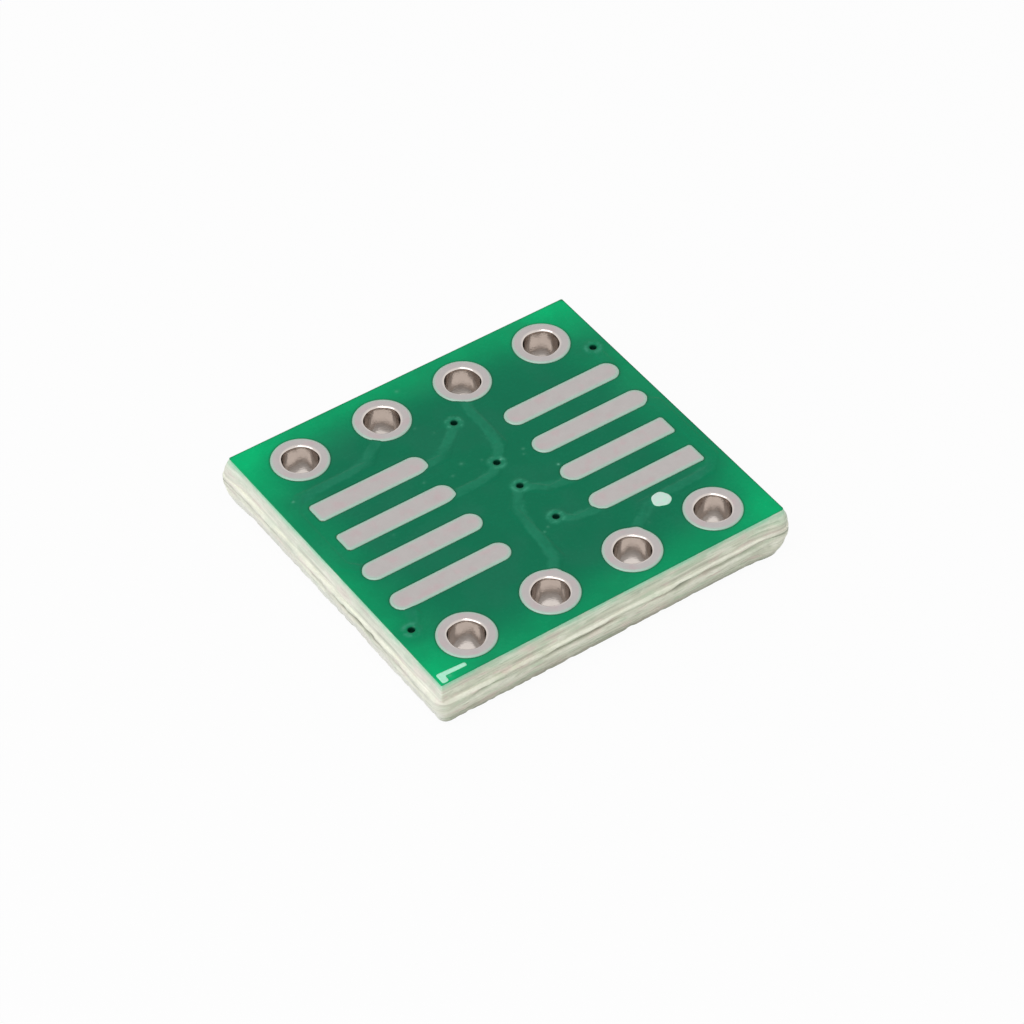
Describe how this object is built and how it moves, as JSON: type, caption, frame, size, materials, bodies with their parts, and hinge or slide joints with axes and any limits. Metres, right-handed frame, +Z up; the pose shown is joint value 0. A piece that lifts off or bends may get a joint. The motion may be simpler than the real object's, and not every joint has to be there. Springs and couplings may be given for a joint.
{
  "type": "smd to dip adapter board",
  "caption": "Small square circuit board with plated holes in two rows along its edges and two columns of solder lands between them, V-scored edges.",
  "frame": {"origin": "under the middle of the board, on the plane of the underside's tinned rings that it rests on", "axes": "+X along the rows of header holes, from hole 1 towards hole 4; +Y across the rows, from the front row (holes 1 to 4) to the back row; +Z up, out of the face with the wide-pitch lands"},
  "size_m": [0.011, 0.0102, 0.0016],
  "materials": {
    "laminate": "glass cloth and epoxy, pale straw, broken and scored edges",
    "solder_mask": "green solder mask, glossy, slightly see-through",
    "copper": "copper foil under the mask",
    "tin": "hot-air levelled tin, satin, smooth in the holes",
    "legend": "white printed ink"
  },
  "bodies": {
    "root": {"laminate": "laminate", "solder_mask_top": "solder_mask", "solder_mask_underside": "solder_mask", "pin_one_dot": "legend", "corner_mark": "legend", "underside_pin_one_dot": "legend", "underside_corner_mark": "legend", "net_1_copper": "copper", "net_2_copper": "copper", "net_3_copper": "copper", "net_4_copper": "copper", "net_5_copper": "copper", "net_6_copper": "copper", "net_7_copper": "copper", "net_8_copper": "copper", "header_hole_1_tin": "tin", "header_hole_2_tin": "tin", "header_hole_3_tin": "tin", "header_hole_4_tin": "tin", "header_hole_5_tin": "tin", "header_hole_6_tin": "tin", "header_hole_7_tin": "tin", "header_hole_8_tin": "tin", "wide_land_1_tin": "tin", "wide_land_2_tin": "tin", "wide_land_3_tin": "tin", "wide_land_4_tin": "tin", "wide_land_5_tin": "tin", "wide_land_6_tin": "tin", "wide_land_7_tin": "tin", "wide_land_8_tin": "tin", "fine_land_1_tin": "tin", "fine_land_2_tin": "tin", "fine_land_3_tin": "tin", "fine_land_4_tin": "tin", "fine_land_5_tin": "tin", "fine_land_6_tin": "tin", "fine_land_7_tin": "tin", "fine_land_8_tin": "tin"}
  },
  "joints": []
}
